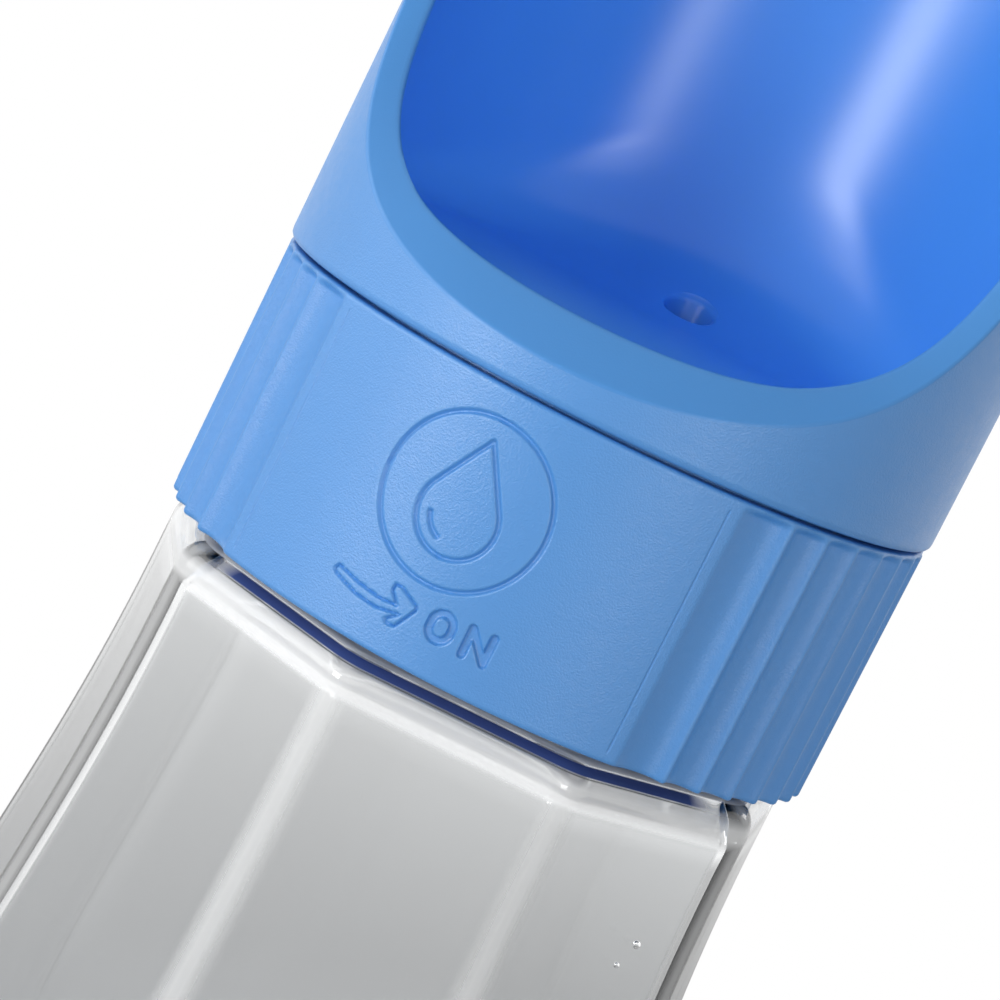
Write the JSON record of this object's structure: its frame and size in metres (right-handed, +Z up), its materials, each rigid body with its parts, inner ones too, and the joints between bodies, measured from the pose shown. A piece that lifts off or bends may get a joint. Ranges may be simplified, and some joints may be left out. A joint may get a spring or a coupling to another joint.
{
  "type": "dog travel water bottle",
  "caption": "Clear faceted bottle with a screw-on drinking bowl; a fluted collar turns a rotary valve that lets water into the bowl.",
  "frame": {"origin": "centre of the bottle's base, on the surface it stands on", "axes": "+Z up along the bottle's axis; the bowl opens towards -Y; +X to the right seen from the front"},
  "size_m": [0.0795, 0.08, 0.2146],
  "materials": {
    "clear_plastic": "clear, glossy moulded plastic",
    "blue_plastic": "satin outside, glossy inside the bowl",
    "blue_satin_plastic": "fine satin mould grain",
    "pale_plastic": "smooth moulded plastic",
    "white_silicone": "soft matte silicone",
    "dark_rubber": "soft matte rubber",
    "steel": "plain stainless steel"
  },
  "bodies": {
    "bottle": {"bottle": "clear_plastic"},
    "gasket_carrier": {"neck_gasket": "white_silicone"},
    "head": {"valve_base": "blue_satin_plastic", "base_port_seal": "white_silicone", "bowl_port_seal": "white_silicone", "bowl": "blue_plastic", "screw_rear": "steel", "screw_left": "steel", "screw_right": "steel", "screw_seal_rear": "dark_rubber", "screw_seal_left": "dark_rubber", "screw_seal_right": "dark_rubber"},
    "collar": {"twist_collar": "blue_satin_plastic", "valve_disc": "pale_plastic"}
  },
  "joints": [
    {"name": "head_rise", "type": "slide", "parent": "bottle", "child": "gasket_carrier", "axis": [0, 0, 1], "range_m": [0, 0.009]},
    {"name": "head_unscrew", "type": "hinge", "parent": "gasket_carrier", "child": "head", "pos_m": [0, 0, 0.111], "axis": [0, 0, 1], "range_deg": [0, 540]},
    {"name": "collar_turn", "type": "hinge", "parent": "head", "child": "collar", "pos_m": [0, 0, 0.123], "axis": [0, 0, 1], "range_deg": [0, 60]}
  ],
  "couplings": [
    {"joint": "head_rise", "follows": "head_unscrew", "m_per_rad": 0.00095492}
  ]
}
